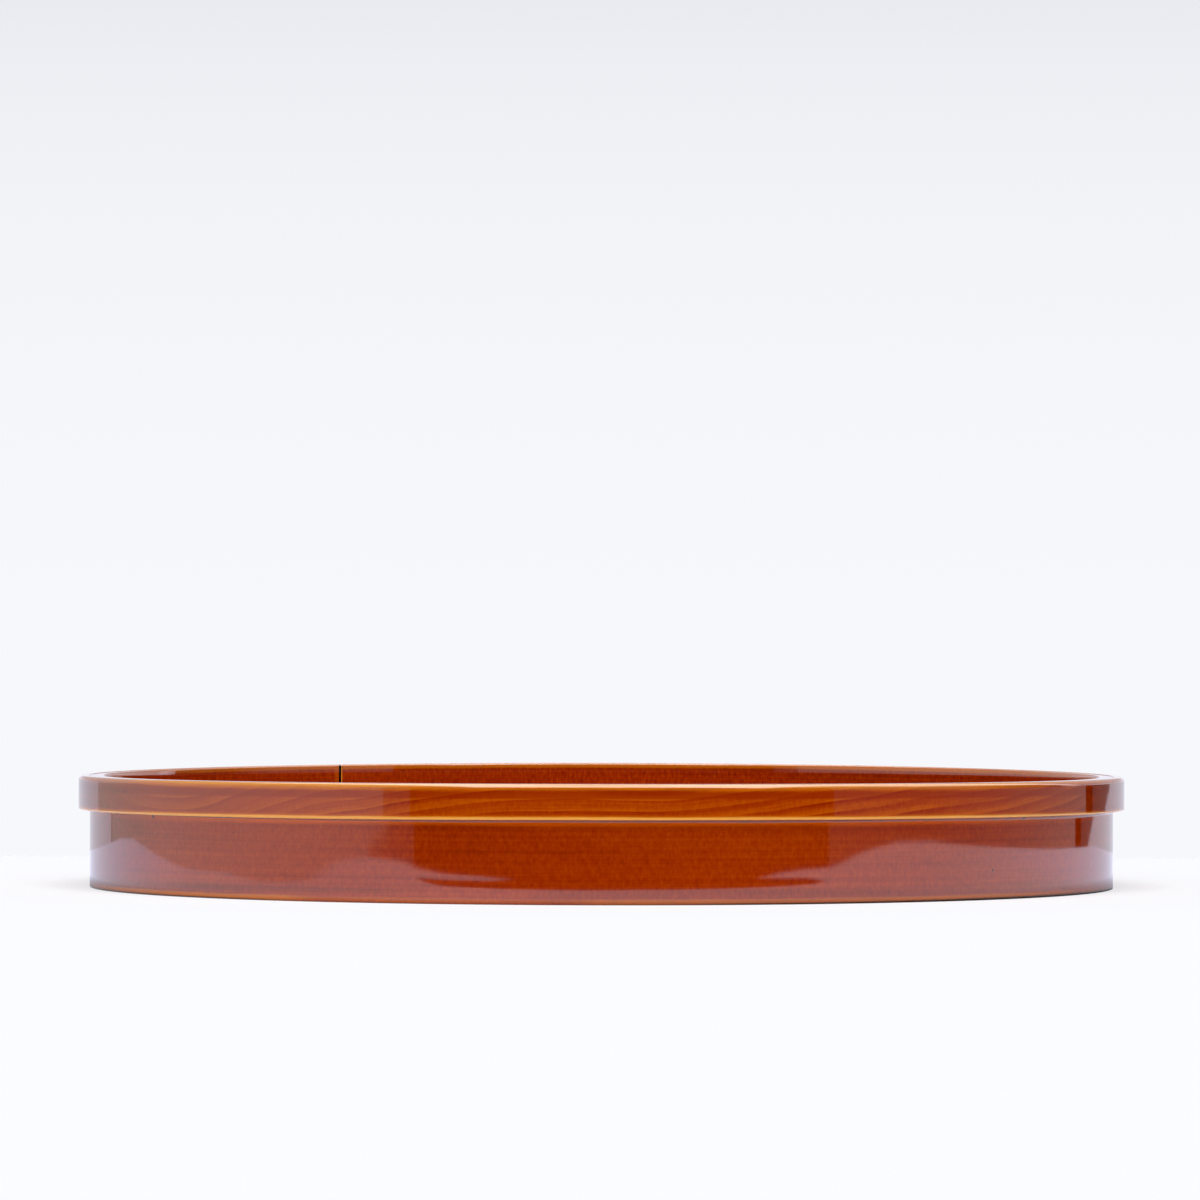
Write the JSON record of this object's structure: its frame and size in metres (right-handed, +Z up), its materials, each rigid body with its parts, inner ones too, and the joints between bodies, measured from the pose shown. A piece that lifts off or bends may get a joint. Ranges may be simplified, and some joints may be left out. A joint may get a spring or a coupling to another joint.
{
  "type": "bentwood tray",
  "caption": "Round bentwood serving tray: a lapped and laced side hoop with an outer rim band, around a recessed flat board bottom, in clear amber-red lacquer.",
  "frame": {"origin": "centre of the circle on which the hoop's foot stands, on the table plane", "axes": "+Z up along the axis of the rings, -Y towards the side that faces the viewer, +X to the viewer's right along the boards' grain"},
  "size_m": [0.303, 0.303, 0.033],
  "materials": {
    "lacquered_hoop": "clear amber-red lacquer over quarter-sawn softwood, gloss",
    "lacquered_band": "clear amber-red lacquer over flat-sawn softwood, gloss",
    "lacquered_panel": "clear amber-red lacquer over quarter-sawn softwood, gloss",
    "bamboo": "bare split bamboo",
    "bark": "cherry bark under clear lacquer"
  },
  "bodies": {
    "root": {"side_hoop": "lacquered_hoop", "rim_band": "lacquered_band", "bark_lacing": "bark", "base_board_1": "lacquered_panel", "base_board_2": "lacquered_panel", "base_board_3": "lacquered_panel", "base_board_4": "lacquered_panel", "base_board_5": "lacquered_panel", "joint_pin_1": "bamboo", "joint_pin_2": "bamboo", "joint_pin_3": "bamboo", "joint_pin_4": "bamboo", "joint_pin_5": "bamboo", "joint_pin_6": "bamboo", "joint_pin_7": "bamboo", "joint_pin_8": "bamboo", "joint_pin_9": "bamboo", "joint_pin_10": "bamboo", "joint_pin_11": "bamboo", "joint_pin_12": "bamboo"}
  },
  "joints": []
}
